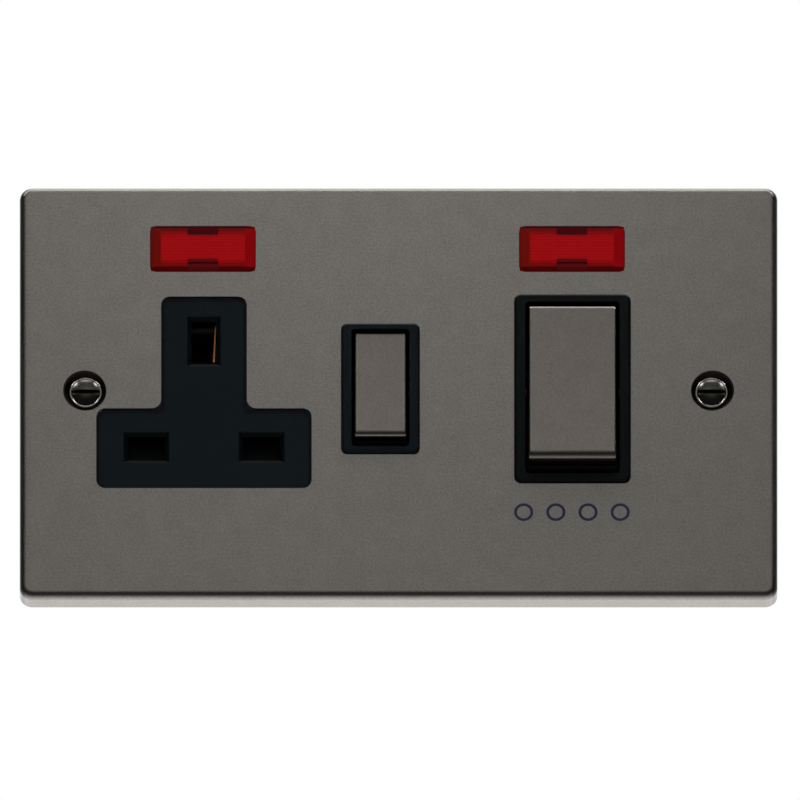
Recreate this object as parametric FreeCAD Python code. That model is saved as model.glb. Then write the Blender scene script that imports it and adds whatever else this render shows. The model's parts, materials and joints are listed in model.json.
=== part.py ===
import FreeCAD, Part
import math
import os
from FreeCAD import Vector

# Cooker control unit: a metal front plate with a rocker-switched cooker supply, a shuttered
# socket with its own small rocker switch, and two neon lights. Sizes in millimetres.
# X runs right, Z up, the front faces -Y, and y = 0 is the wall that the plate's rim rests on.

os.makedirs("parts", exist_ok=True)

# Front plate
PLATE_WIDTH = 146.0
PLATE_HEIGHT = 86.0
PLATE_DEPTH = 5.0
PLATE_SHEET = 1.0
PLATE_CORNER_RADIUS = 2.4
PLATE_FOLD_RADIUS = 1.4
FIXING_CENTRES = 120.6
COUNTERSINK_RADIUS = 4.0
COUNTERSINK_DEPTH = 2.0
DIMPLE_GAP = 1.0
STUD_INSET_X = 10.0
STUD_INSET_Z = 14.0
STUD_RADIUS = 1.5
STUD_LENGTH = 6.6
NUT_ACROSS_FLATS = 5.5
NUT_THICKNESS = 2.2
THREAD_GAP = 0.05

# Clearances
WINDOW_GAP = 0.15
RUNNING_GAP = 0.08
LOOSE_GAP = 0.3

# Fixing screws, M3.5 with raised countersunk heads
FIXING_SCREW_RADIUS = 1.75
FIXING_HEAD_RADIUS = 3.3
FIXING_HEAD_RISE = 0.9
FIXING_LENGTH = 25.0
SLOT_WIDTH = 0.9
SLOT_DEPTH = 0.8
FIXING_SLOT_DEPTH = 1.2

# Socket face, a T with rounded corners
SOCKET_X = -37.5
SOCKET_Z = -0.45
T_ARM_HALF_WIDTH = 20.6
T_STEM_HALF_WIDTH = 8.1
T_BOTTOM = -20.0
T_SHOULDER = -3.6
T_TOP = 19.8
T_OUTER_RADIUS = 1.6
T_INNER_RADIUS = 2.0
INSERT_RECESS = 0.15
INSERT_FLANGE = 1.4
INSERT_FLANGE_MARGIN = 2.6
INSERT_FLANGE_CORNER = 1.5

# Pins of the plug that the socket takes, and the holes for them
PIN_SPACING = 22.2
FLAT_PIN_WIDTH = 6.4
FLAT_PIN_HEIGHT = 4.0
EARTH_PIN_WIDTH = 4.0
EARTH_PIN_HEIGHT = 8.0
PIN_CLEARANCE = 0.4
LEAD_IN = 0.85
CHUTE_WALL = 1.4
PIN_HOLE_CORNER = 0.3

# Shutter behind the pin holes
SHUTTER_FRONT = -0.5
SHUTTER_THICKNESS = 1.8
SHUTTER_TRAVEL = 5.3
SHUTTER_STEM_HALF_WIDTH = 3.0
SHUTTER_WEDGE_DEPTH = 3.4
SHUTTER_WEDGE_FOOT = 1.6
SHUTTER_COVER = 2.0
SHUTTER_SIDE_COVER = 0.6
SHUTTER_GUIDE_THICKNESS = 1.2
SPRING_SEAT_THICKNESS = 1.5
SPRING_SEAT_WIDTH = 6.0
SHUTTER_SPRING_LENGTH = 11.0
SHUTTER_SPRING_RADIUS = 0.95
SHUTTER_SPRING_WIRE = 0.16
SHUTTER_SPRING_TURNS = 6
PLUNGER_SPRING_START = 1.8
PLUNGER_START = 6.0
PLUNGER_SPRING_WIRE = 0.16
PLUNGER_SPRING_TURNS = 4
PLUNGER_SPRING_INSET = 0.35
SPRING_STEPS_PER_TURN = 8
SPRING_WIRE_SIDES = 5
TIP_SHARE = 0.15

# Both rocker switches
SWITCH_Z = 0.6
PIVOT_Y = -1.0
ROCKER_TILT = 7.0
BEZEL_RISE = 0.8
BEZEL_EDGE = 0.4
WELL_CORNER = 0.8
CHEEK_HEIGHT = 10.0
CHEEK_WALL = 2.2
CAP_RIM_REACH = 3.4
CAP_EDGE_RADIUS = 0.3
CAP_FIT_GAP = 0.05
SKIRT_REACH = 1.9
SKIRT_CORNER = 0.6
STEM_WALL = 1.0
STEM_SHORTFALL = 3.2
AXLE_END_GAP = 0.4
HUB_WALL = 1.2
PLUNGER_REACH = 12.0
PLUNGER_GAP = 0.1
BAR_THICKNESS = 1.2
BAR_TILT = 8.0
BAR_CORNER = 0.6
BUTTON_HEIGHT = 0.9
CONTACT_GAP_CLOSED = 0.2
CONTACT_STRAP_MARGIN = 1.0
STRAP_THICKNESS = 1.0
FULCRUM_BASE = 1.6
BAR_REST_GAP = 0.1
POST_HEIGHT = 3.2
CAP_SHEET = 0.8

# Cooker switch
COOKER = {
    "name": "cooker", "x": 33.5, "bezel_width": 22.2, "bezel_height": 39.2, "bezel_corner": 1.2,
    "side_rim": 2.0, "end_rim": 1.6, "side_gap": 0.75, "end_gap": 1.1,
    "cap_front": 6.8, "flare": 0.4, "cap_end_radius": 1.4,
    "axle_radius": 1.6, "stem_height": 6.4, "pole_offset": 4.4, "plunger_radius": 1.6,
    "bar_width": 4.2, "bar_half_length": 10.5, "button_radius": 1.5,
}

# Socket switch
SOCKET = {
    "name": "socket", "x": -3.5, "bezel_width": 14.9, "bezel_height": 27.0, "bezel_corner": 1.0,
    "side_rim": 1.85, "end_rim": 1.2, "side_gap": 0.7, "end_gap": 0.85,
    "cap_front": 5.6, "flare": 0.35, "cap_end_radius": 1.0,
    "axle_radius": 1.2, "stem_height": 5.6, "pole_offset": 2.4, "plunger_radius": 1.2,
    "bar_width": 3.0, "bar_half_length": 9.0, "button_radius": 1.1,
}

# Neon lights
LENS_X = (-37.7, 33.4)
LENS_BELOW_TOP = 13.1
LENS_WIDTH = 20.1
LENS_HEIGHT = 9.3
LENS_CORNER = 1.1
LENS_RIM = 2.0
LENS_RISE = 0.6
LENS_DEPTH = 4.6
LENS_WALL = 1.2
LENS_SKIRT_INSET = 1.3
LENS_LIP = 1.5
LENS_TAB_WIDTH = 5.8
LENS_TAB_HEIGHT = 1.7
LAMP_RADIUS = 1.9
LAMP_LENGTH = 11.0
LAMP_Y = 2.6
RESISTOR_RADIUS = 1.1
RESISTOR_LENGTH = 6.5
RESISTOR_Y = 6.6
LAMP_RIB_SPACING = 4.8
LAMP_RIB_THICKNESS = 1.4

# Rear housing
HOUSING_WIDTH = 113.0
HOUSING_BELOW_TOP = 7.5
HOUSING_ABOVE_BOTTOM = 12.0
HOUSING_BACK = 28.0
HOUSING_WALL = 2.0
HOUSING_CORNER = 3.0
HOUSING_EDGE = 0.8
HOUSING_FLANGE = 2.2
LUG_CLEARANCE = 5.5
LUG_HALF_HEIGHT = 5.5
LUG_FLANGE_RADIUS = 5.2
BARRIER_THICKNESS = 1.4
BARRIER_HEIGHT = 1.8
PARTITION_THICKNESS = 1.6
PARTITION_BACK = 13.0
SHIELD_THICKNESS = 1.3
SHIELD_MARGIN = 1.0

# Terminals
TERMINAL_X = {"live": 20.0, "earth": 33.5, "neutral": 47.0}
TERMINAL_WIDTH = 9.0
TERMINAL_DEPTH = 10.0
TERMINAL_HEIGHT = 8.0
CABLE_BORE_RADIUS = 3.0
CABLE_BORE_END = 1.0
TERMINAL_SCREW_RADIUS = 2.2
TERMINAL_SCREW_SINK = 1.6
TERMINAL_SCREW_GAP = 0.6
CABLE_ENTRY_RADIUS = 3.7

# Planes that the metal straps lie in, from the front to the back
LIVE_STRAP_Y = 17.0
NEUTRAL_STRAP_Y = 20.0
EARTH_STRAP_Y = 24.0
LIVE_RUN_RISE = 2.5
NEUTRAL_RUN_RISE = 7.5
EARTH_RUN_Z = 15.0
NEUTRAL_RUN_ABOVE = 4.5
RUN_HEIGHT = 3.0
JAW_SHEET = 0.7
JAW_MOUTH_Y = 3.4
EARTH_JAW_MOUTH_Y = 5.4
JAW_GAP = 3.6
PIN_STRAP_WIDTH = 3.0

# Strap that earths the metal plate
PLATE_STRAP_X = 5.0
PLATE_STRAP_Z = 27.0
PLATE_STRAP_WIDTH = 4.0
PLATE_STRAP_FOOT = 6.0

for switch in (COOKER, SOCKET):
    switch["well_width"] = switch["bezel_width"] - 2 * switch["side_rim"]
    switch["well_height"] = switch["bezel_height"] - 2 * switch["end_rim"]
    switch["cap_width"] = switch["well_width"] - 2 * switch["side_gap"]
    switch["cap_height"] = switch["well_height"] - 2 * switch["end_gap"]

FACE_Y = -PLATE_DEPTH
SHEET_BACK_Y = FACE_Y + PLATE_SHEET
FLANGE_BACK_Y = SHEET_BACK_Y + INSERT_FLANGE
SHIELD_FRONT_Y = SHUTTER_FRONT + SHUTTER_THICKNESS + LOOSE_GAP
SHIELD_BACK_Y = SHIELD_FRONT_Y + SHIELD_THICKNESS
FLAT_PIN_Z = SOCKET_Z - PIN_SPACING / 2
EARTH_PIN_Z = SOCKET_Z + PIN_SPACING / 2
LIVE_PIN_X = SOCKET_X + PIN_SPACING / 2
NEUTRAL_PIN_X = SOCKET_X - PIN_SPACING / 2
FULCRUM_Y = PIVOT_Y + PLUNGER_REACH + PLUNGER_GAP + BAR_THICKNESS
LENS_Z = PLATE_HEIGHT / 2 - LENS_BELOW_TOP
HOUSING_TOP = PLATE_HEIGHT / 2 - HOUSING_BELOW_TOP
HOUSING_BOTTOM = HOUSING_ABOVE_BOTTOM - PLATE_HEIGHT / 2
HOUSING_FLANGE_BACK = FLANGE_BACK_Y + HOUSING_FLANGE
BACK_WALL_Y = HOUSING_BACK - HOUSING_WALL
INNER_TOP = HOUSING_TOP - HOUSING_WALL
INNER_BOTTOM = HOUSING_BOTTOM + HOUSING_WALL
TERMINAL_Y = EARTH_STRAP_Y - TERMINAL_DEPTH / 2
LOAD_TERMINAL_FOOT = INNER_TOP - TERMINAL_HEIGHT
SUPPLY_TERMINAL_TOP = INNER_BOTTOM + TERMINAL_HEIGHT
LIVE_RUN_Z = SUPPLY_TERMINAL_TOP + LIVE_RUN_RISE
NEUTRAL_RUN_Z = SUPPLY_TERMINAL_TOP + NEUTRAL_RUN_RISE
CAP_RIM_Y = PIVOT_Y - CAP_RIM_REACH
STEM_BACK_Y = PIVOT_Y + PLUNGER_REACH - STEM_SHORTFALL
FLAT_HOLE_TOP = FLAT_PIN_Z + FLAT_PIN_HEIGHT / 2 + PIN_CLEARANCE
FLAT_HOLE_BOTTOM = FLAT_PIN_Z - FLAT_PIN_HEIGHT / 2 - PIN_CLEARANCE
SHUTTER_HALF_WIDTH = PIN_SPACING / 2 + FLAT_PIN_WIDTH / 2 + PIN_CLEARANCE + SHUTTER_SIDE_COVER
SHUTTER_BAR_TOP = FLAT_HOLE_BOTTOM + SHUTTER_TRAVEL - LOOSE_GAP
SHUTTER_BAR_BOTTOM = FLAT_HOLE_BOTTOM - SHUTTER_COVER
SHUTTER_TOP = EARTH_PIN_Z - EARTH_PIN_HEIGHT / 2 - PIN_CLEARANCE + SHUTTER_TRAVEL
SHUTTER_BACK = SHUTTER_FRONT + SHUTTER_THICKNESS
SPRING_FOOT = SHUTTER_BAR_BOTTOM - SHUTTER_SPRING_LENGTH
PARTITION_X = (COOKER["x"] - COOKER["bezel_width"] / 2 + SOCKET["x"] + SOCKET["bezel_width"] / 2) / 2
SOCKET_WALL_X = SOCKET["x"] - SOCKET["bezel_width"] / 2 - INSERT_FLANGE_MARGIN

# Lengths that only the modelling needs: a cutter's reach past a face, and a test for zero
PAST = 1.0
TINY = 1e-6


def box(x_range, y_range, z_range):
    size = (x_range[1] - x_range[0], y_range[1] - y_range[0], z_range[1] - z_range[0])
    return Part.makeBox(*size, Vector(x_range[0], y_range[0], z_range[0]))


def span(centre, width):
    return (centre - width / 2, centre + width / 2)


def rod(radius, start, end):
    direction = end - start
    return Part.makeCylinder(radius, direction.Length, start, direction)


def cone(front_radius, back_radius, start, depth):
    return Part.makeCone(front_radius, back_radius, depth, start, Vector(0, 1, 0))


def rounded_loop(corners):
    """Closed wire through corners given as (point, radius), each corner an arc or sharp."""
    arcs = []
    for index, (corner, radius) in enumerate(corners):
        before = (corners[index - 1][0] - corner).normalize()
        after = (corners[(index + 1) % len(corners)][0] - corner).normalize()
        if radius <= 0:
            arcs.append((corner, None, corner))
            continue
        half_angle = before.getAngle(after) / 2
        reach = radius / math.tan(half_angle)
        bisector = (before + after).normalize()
        middle = corner + bisector * (radius / math.sin(half_angle) - radius)
        arcs.append((corner + before * reach, middle, corner + after * reach))
    edges = []
    for index, (start, middle, end) in enumerate(arcs):
        if middle is not None:
            edges.append(Part.Arc(start, middle, end).toShape())
        edges.append(Part.LineSegment(end, arcs[(index + 1) % len(arcs)][0]).toShape())
    return Part.Wire(edges)


def rectangle(centre, size, radius, y):
    """Rounded rectangle at depth y, about centre (x, z)."""
    (x0, x1), (z0, z1) = span(centre[0], size[0]), span(centre[1], size[1])
    corners = [(x0, z0), (x1, z0), (x1, z1), (x0, z1)]
    return rounded_loop([(Vector(x, y, z), radius) for x, z in corners])


def slab(centre, size, y_range, radius):
    face = Part.Face(rectangle(centre, size, radius, y_range[0]))
    return face.extrude(Vector(0, y_range[1] - y_range[0], 0))


def tapered(centre, front_size, back_size, y_range, radius=0):
    """Block that widens or narrows from its front rectangle to its back one, its sloping edges rounded."""
    rings = []
    for size, y in ((front_size, y_range[0]), (back_size, y_range[1])):
        (x0, x1), (z0, z1) = span(centre[0], size[0]), span(centre[1], size[1])
        rings.append([Vector(x0, y, z0), Vector(x1, y, z0), Vector(x1, y, z1), Vector(x0, y, z1)])
    front, back = rings
    loops = [front, back]
    for k in range(4):
        n = (k + 1) % 4
        loops.append([front[k], front[n], back[n], back[k]])
    sides = [Part.Face(Part.makePolygon(loop + loop[:1])) for loop in loops]
    block = Part.makeSolid(Part.makeShell(sides))
    if radius <= 0:
        return block
    sloping = [e for e in block.Edges if abs(e.Vertexes[0].Y - e.Vertexes[1].Y) > TINY]
    return block.makeFillet(radius, sloping)


def face_edges(shape, y):
    """The edges that lie in the plane at depth y."""
    return [e for e in shape.Edges if all(abs(v.Y - y) < TINY for v in e.Vertexes)]


def folded_strip(path, thickness, width, bend=0.5):
    """Strip of sheet bent along a flat path of points; width is a vector across the strip."""
    across = Vector(width).normalize()
    left, right = [], []
    for index, point in enumerate(path):
        steps = []
        if index > 0:
            steps.append((point - path[index - 1]).normalize())
        if index < len(path) - 1:
            steps.append((path[index + 1] - point).normalize())
        normals = [step.cross(across) for step in steps]
        mitre = (normals[0] + normals[-1]).normalize()
        shift = mitre * (thickness / 2 / mitre.dot(normals[0]))
        turn = steps[0].cross(steps[-1]).dot(across)
        inner, outer = bend, bend + thickness
        left.append((point + shift, outer if turn > TINY else inner if turn < -TINY else 0))
        right.append((point - shift, inner if turn > TINY else outer if turn < -TINY else 0))
    face = Part.Face(rounded_loop(left + right[::-1]))
    strip = face.extrude(width)
    strip.translate(width * -0.5)
    return strip


def fuse(shapes):
    return shapes[0].multiFuse(shapes[1:]).removeSplitter()


def about_pivot(shape, switch, degrees):
    """Turn a shape about its rocker's axle."""
    turned = shape.copy()
    turned.rotate(Vector(switch["x"], PIVOT_Y, SWITCH_Z), Vector(1, 0, 0), degrees)
    return turned


def screw_places():
    return [Vector(side * FIXING_CENTRES / 2, 0, 0) for side in (-1, 1)]


def stud_places():
    x = PLATE_WIDTH / 2 - STUD_INSET_X
    z = PLATE_HEIGHT / 2 - STUD_INSET_Z
    return [Vector(a * x, 0, b * z) for a in (-1, 1) for b in (-1, 1)]


def pin_holes(grow, y_range, corner=0):
    """The three pin passages, each side wider than its pin by grow."""
    flat = (FLAT_PIN_WIDTH + 2 * grow, FLAT_PIN_HEIGHT + 2 * grow)
    earth = (EARTH_PIN_WIDTH + 2 * grow, EARTH_PIN_HEIGHT + 2 * grow)
    return [
        slab((LIVE_PIN_X, FLAT_PIN_Z), flat, y_range, corner),
        slab((NEUTRAL_PIN_X, FLAT_PIN_Z), flat, y_range, corner),
        slab((SOCKET_X, EARTH_PIN_Z), earth, y_range, corner),
    ]


def lead_ins(face_y):
    """Flared mouths of the pin passages in the socket's face."""
    mouths = []
    flat = (FLAT_PIN_WIDTH + 2 * PIN_CLEARANCE, FLAT_PIN_HEIGHT + 2 * PIN_CLEARANCE)
    earth = (EARTH_PIN_WIDTH + 2 * PIN_CLEARANCE, EARTH_PIN_HEIGHT + 2 * PIN_CLEARANCE)
    places = [((LIVE_PIN_X, FLAT_PIN_Z), flat), ((NEUTRAL_PIN_X, FLAT_PIN_Z), flat),
              ((SOCKET_X, EARTH_PIN_Z), earth)]
    for centre, size in places:
        wide = (size[0] + 2 * LEAD_IN, size[1] + 2 * LEAD_IN)
        mouths.append(tapered(centre, wide, size, (face_y, face_y + LEAD_IN)))
    return mouths


def t_block(grow, y_range):
    """The socket face's T, grown outwards by grow."""
    arm, stem = T_ARM_HALF_WIDTH + grow, T_STEM_HALF_WIDTH + grow
    points = [
        (-arm, T_BOTTOM - grow, T_OUTER_RADIUS + grow), (arm, T_BOTTOM - grow, T_OUTER_RADIUS + grow),
        (arm, T_SHOULDER + grow, T_OUTER_RADIUS + grow), (stem, T_SHOULDER + grow, T_INNER_RADIUS - grow),
        (stem, T_TOP + grow, T_OUTER_RADIUS + grow), (-stem, T_TOP + grow, T_OUTER_RADIUS + grow),
        (-stem, T_SHOULDER + grow, T_INNER_RADIUS - grow), (-arm, T_SHOULDER + grow, T_OUTER_RADIUS + grow),
    ]
    loop = rounded_loop([(Vector(SOCKET_X + x, y_range[0], z), radius) for x, z, radius in points])
    return Part.Face(loop).extrude(Vector(0, y_range[1] - y_range[0], 0))


def bezel_block(switch, grow, y_range):
    size = (switch["bezel_width"] + 2 * grow, switch["bezel_height"] + 2 * grow)
    return slab((switch["x"], SWITCH_Z), size, y_range, switch["bezel_corner"] + grow)


def lens_block(x, grow, y_range):
    size = (LENS_WIDTH + 2 * grow, LENS_HEIGHT + 2 * grow)
    return slab((x, LENS_Z), size, y_range, LENS_CORNER + grow)


def front_plate():
    outer = slab((0, 0), (PLATE_WIDTH, PLATE_HEIGHT), (FACE_Y, 0), PLATE_CORNER_RADIUS)
    outer = outer.makeFillet(PLATE_FOLD_RADIUS, face_edges(outer, FACE_Y))
    inner_size = (PLATE_WIDTH - 2 * PLATE_SHEET, PLATE_HEIGHT - 2 * PLATE_SHEET)
    inner = slab((0, 0), inner_size, (SHEET_BACK_Y, 0), PLATE_CORNER_RADIUS - PLATE_SHEET)
    tray = outer.cut(inner)
    slope = PLATE_SHEET * math.sqrt(2)
    dimples = []
    sinks = []
    for place in screw_places():
        back = Vector(place.x, SHEET_BACK_Y, place.z)
        dimple_depth = COUNTERSINK_DEPTH - PLATE_SHEET
        narrow = COUNTERSINK_RADIUS - COUNTERSINK_DEPTH
        dimples.append(cone(narrow + dimple_depth + slope, narrow + slope, back, dimple_depth))
        sinks.append(cone(COUNTERSINK_RADIUS, narrow, Vector(place.x, FACE_Y, place.z), COUNTERSINK_DEPTH))
        sinks.append(rod(narrow, Vector(place.x, FACE_Y, place.z), Vector(place.x, 0, place.z)))
    studs = []
    for place in stud_places():
        foot = Vector(place.x, SHEET_BACK_Y, place.z)
        studs.append(rod(STUD_RADIUS, foot, foot + Vector(0, STUD_LENGTH, 0)))
    through = (FACE_Y - PAST, SHEET_BACK_Y + TINY)
    windows = [t_block(WINDOW_GAP, through)]
    windows += [bezel_block(switch, WINDOW_GAP, through) for switch in (COOKER, SOCKET)]
    windows += [lens_block(x, WINDOW_GAP, through) for x in LENS_X]
    return fuse([tray] + dimples + studs).cut(Part.makeCompound(sinks)).cut(Part.makeCompound(windows))


def switch_well(switch):
    """Bezel, cheeks and pivot holes of one rocker, and the space that it moves in."""
    face_y = FACE_Y - BEZEL_RISE
    bezel = bezel_block(switch, 0, (face_y, FLANGE_BACK_Y))
    bezel = bezel.makeChamfer(BEZEL_EDGE, face_edges(bezel, face_y))
    cheeks = []
    cheek = switch["side_rim"]
    cheek_depth = PIVOT_Y + switch["axle_radius"] + CHEEK_WALL
    for side in (-1, 1):
        x = switch["x"] + side * (switch["well_width"] + cheek) / 2
        cheeks.append(box(span(x, cheek), (SHEET_BACK_Y, cheek_depth), span(SWITCH_Z, CHEEK_HEIGHT)))
    well = slab((switch["x"], SWITCH_Z), (switch["well_width"], switch["well_height"]),
                (face_y - PAST, cheek_depth + PAST), WELL_CORNER)
    half = switch["bezel_width"] / 2 + PAST
    axle = rod(switch["axle_radius"] + RUNNING_GAP, Vector(switch["x"] - half, PIVOT_Y, SWITCH_Z),
               Vector(switch["x"] + half, PIVOT_Y, SWITCH_Z))
    return [bezel] + cheeks, [well, axle]


def dimple_clearances():
    """Room in the inserts' flanges for the dimples behind the plate's countersinks."""
    radius = COUNTERSINK_RADIUS + DIMPLE_GAP
    return [rod(radius, Vector(place.x, FACE_Y, 0), Vector(place.x, FLANGE_BACK_Y + PAST, 0))
            for place in screw_places()]


def socket_insert():
    face_y = FACE_Y + INSERT_RECESS
    left = SOCKET_X - T_ARM_HALF_WIDTH - INSERT_FLANGE_MARGIN
    right = PARTITION_X
    height = T_TOP - T_BOTTOM + 2 * INSERT_FLANGE_MARGIN
    flange = slab(((left + right) / 2, (T_TOP + T_BOTTOM) / 2), (right - left, height),
                  (SHEET_BACK_Y, FLANGE_BACK_Y), INSERT_FLANGE_CORNER)
    chute_end = SHUTTER_FRONT - LOOSE_GAP
    holes = pin_holes(PIN_CLEARANCE, (face_y - PAST, chute_end + PAST), PIN_HOLE_CORNER)
    chutes = pin_holes(PIN_CLEARANCE + CHUTE_WALL, (SHEET_BACK_Y, chute_end))
    added, removed = switch_well(SOCKET)
    body = fuse([t_block(0, (face_y, FLANGE_BACK_Y)), flange] + chutes + added)
    for cutters in (holes, lead_ins(face_y), removed, dimple_clearances()):
        body = body.cut(Part.makeCompound(cutters))
    return body


def cooker_insert():
    right = COOKER["x"] + COOKER["bezel_width"] / 2
    left = PARTITION_X + LOOSE_GAP
    edge = right + (COOKER["x"] - COOKER["bezel_width"] / 2 - left)
    height = COOKER["bezel_height"] + 2 * INSERT_FLANGE_MARGIN
    flange = slab(((left + edge) / 2, SWITCH_Z), (edge - left, height), (SHEET_BACK_Y, FLANGE_BACK_Y),
                  INSERT_FLANGE_CORNER)
    for x in LENS_X:
        flange = flange.cut(lens_block(x, LENS_LIP + LOOSE_GAP, (FACE_Y, FLANGE_BACK_Y + PAST)))
    added, removed = switch_well(COOKER)
    body = fuse([flange] + added)
    for cutters in (removed, dimple_clearances()):
        body = body.cut(Part.makeCompound(cutters))
    return body


def cap_sizes(switch):
    front = (switch["cap_width"], switch["cap_height"])
    back = (front[0] + 2 * switch["flare"], front[1] + 2 * switch["flare"])
    return front, back, PIVOT_Y - switch["cap_front"]


def is_across(edge):
    """Whether an edge runs from the left to the right."""
    return abs(edge.Vertexes[0].X - edge.Vertexes[1].X) > PAST


def rocker_cap(switch):
    """Thin metal cap over the rocker, its walls spreading towards their open edge."""
    front, back, face_y = cap_sizes(switch)
    centre = (switch["x"], SWITCH_Z)
    outer = tapered(centre, front, back, (face_y, CAP_RIM_Y))
    ends = [e for e in face_edges(outer, face_y) if is_across(e)]
    outer = outer.makeFillet(switch["cap_end_radius"], ends)
    rim = face_edges(outer, CAP_RIM_Y)
    sides = [e for e in outer.Edges if not is_across(e) and not any(e.isSame(r) for r in rim)]
    outer = outer.makeFillet(CAP_EDGE_RADIUS, sides)
    inner_front = (front[0] - 2 * CAP_SHEET, front[1] - 2 * CAP_SHEET)
    inner_back = (back[0] - 2 * CAP_SHEET, back[1] - 2 * CAP_SHEET)
    inner = tapered(centre, inner_front, inner_back, (face_y + CAP_SHEET, CAP_RIM_Y))
    return about_pivot(outer.cut(inner), switch, -ROCKER_TILT)


def rocker(switch):
    """Moulded rocker inside the cap, with its axles and the stem that holds two plungers."""
    front, back, face_y = cap_sizes(switch)
    centre = (switch["x"], SWITCH_Z)
    shrink = 2 * (CAP_SHEET + CAP_FIT_GAP)
    core = tapered(centre, (front[0] - shrink, front[1] - shrink), (back[0] - shrink, back[1] - shrink),
                   (face_y + CAP_SHEET, CAP_RIM_Y))
    skirt = slab(centre, back, (CAP_RIM_Y, PIVOT_Y - SKIRT_REACH), SKIRT_CORNER)
    stem_width = 2 * (switch["pole_offset"] + switch["plunger_radius"] + STEM_WALL)
    stem = slab(centre, (stem_width, switch["stem_height"]), (CAP_RIM_Y, STEM_BACK_Y), 0)
    reach = switch["bezel_width"] / 2 - AXLE_END_GAP
    axle = rod(switch["axle_radius"], Vector(centre[0] - reach, PIVOT_Y, SWITCH_Z),
               Vector(centre[0] + reach, PIVOT_Y, SWITCH_Z))
    hub = rod(switch["axle_radius"] + HUB_WALL, Vector(centre[0] - stem_width / 2, PIVOT_Y, SWITCH_Z),
              Vector(centre[0] + stem_width / 2, PIVOT_Y, SWITCH_Z))
    bores = []
    for side in (-1, 1):
        x = centre[0] + side * switch["pole_offset"]
        bores.append(rod(switch["plunger_radius"] + RUNNING_GAP,
                         Vector(x, PIVOT_Y + PLUNGER_SPRING_START, SWITCH_Z),
                         Vector(x, STEM_BACK_Y + PAST, SWITCH_Z)))
    body = fuse([core, skirt, stem, axle, hub]).cut(Part.makeCompound(bores))
    return about_pivot(body, switch, -ROCKER_TILT)


def pole_x(switch, pole):
    return switch["x"] + (-1 if pole == "live" else 1) * switch["pole_offset"]


def blunt_ended(radius, start, end):
    """Rod whose far end tapers to a blunt tip."""
    along = (end - start).normalize()
    shoulder = end - along * radius
    return rod(radius, start, shoulder).fuse(Part.makeCone(radius, radius * TIP_SHARE, radius, shoulder, along))


def plunger(switch, pole):
    """Spring-loaded pin with a blunt tip that slides in the rocker's stem."""
    x = pole_x(switch, pole)
    pin = blunt_ended(switch["plunger_radius"], Vector(x, PIVOT_Y + PLUNGER_START, SWITCH_Z),
                      Vector(x, PIVOT_Y + PLUNGER_REACH, SWITCH_Z))
    return about_pivot(pin, switch, -ROCKER_TILT)


def coil(radius, wire, turns, start, end):
    """Helical spring between two points: the wire's sections, as polygons, lofted round the helix."""
    length = (end - start).Length - 2 * wire
    steps = turns * SPRING_STEPS_PER_TURN
    sections = []
    for step in range(steps + 1):
        angle = 2 * math.pi * step / SPRING_STEPS_PER_TURN
        outward = Vector(math.cos(angle), math.sin(angle), 0)
        middle = outward * radius + Vector(0, 0, wire + length * step / steps)
        ring = []
        for side in range(SPRING_WIRE_SIDES):
            round_wire = 2 * math.pi * side / SPRING_WIRE_SIDES
            ring.append(middle + outward * wire * math.cos(round_wire) + Vector(0, 0, wire * math.sin(round_wire)))
        sections.append(Part.makePolygon(ring + ring[:1]))
    spring = Part.makeLoft(sections, True, True)
    turn = FreeCAD.Rotation(Vector(0, 0, 1), end - start)
    spring.Placement = FreeCAD.Placement(start, turn)
    return spring


def plunger_spring(switch, pole):
    x = pole_x(switch, pole)
    start = Vector(x, PIVOT_Y + PLUNGER_SPRING_START, SWITCH_Z)
    end = Vector(x, PIVOT_Y + PLUNGER_START, SWITCH_Z)
    radius = switch["plunger_radius"] - PLUNGER_SPRING_INSET
    spring = coil(radius, PLUNGER_SPRING_WIRE, PLUNGER_SPRING_TURNS, start, end)
    return about_pivot(spring, switch, -ROCKER_TILT)


def contact_bar(switch, pole):
    """Copper see-saw bar on its fulcrum, one contact button on the back of its upper end."""
    x = pole_x(switch, pole)
    half = switch["bar_half_length"]
    y_range = (FULCRUM_Y - BAR_THICKNESS, FULCRUM_Y)
    bar = slab((x, SWITCH_Z), (switch["bar_width"], 2 * half), y_range, BAR_CORNER)
    button_z = SWITCH_Z + half - switch["button_radius"]
    button = rod(switch["button_radius"], Vector(x, FULCRUM_Y, button_z),
                 Vector(x, FULCRUM_Y + BUTTON_HEIGHT, button_z))
    body = bar.fuse(button)
    body.rotate(Vector(x, FULCRUM_Y, SWITCH_Z), Vector(1, 0, 0), BAR_TILT)
    return body


def closed_button_y(switch):
    """How far back a contact button reaches when its bar is tilted closed."""
    angle = math.radians(BAR_TILT)
    return FULCRUM_Y + BUTTON_HEIGHT * math.cos(angle) + switch["bar_half_length"] * math.sin(angle)


def contact_foot(switch):
    """Where a fixed contact's strap starts, just under its button."""
    return SWITCH_Z + switch["bar_half_length"] - 2 * switch["button_radius"] - CONTACT_STRAP_MARGIN


def fixed_contact(switch, pole, foot_z, top_z):
    """Upright strap with the fixed contact button in front, behind the bar's upper end."""
    x = pole_x(switch, pole)
    button_front = closed_button_y(switch) + CONTACT_GAP_CLOSED
    strap_y = button_front + BUTTON_HEIGHT
    button_z = SWITCH_Z + switch["bar_half_length"] - switch["button_radius"]
    button = rod(switch["button_radius"], Vector(x, button_front, button_z), Vector(x, strap_y, button_z))
    strap = box(span(x, switch["bar_width"]), (strap_y, strap_y + STRAP_THICKNESS), (foot_z, top_z))
    return [button, strap], strap_y


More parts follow.
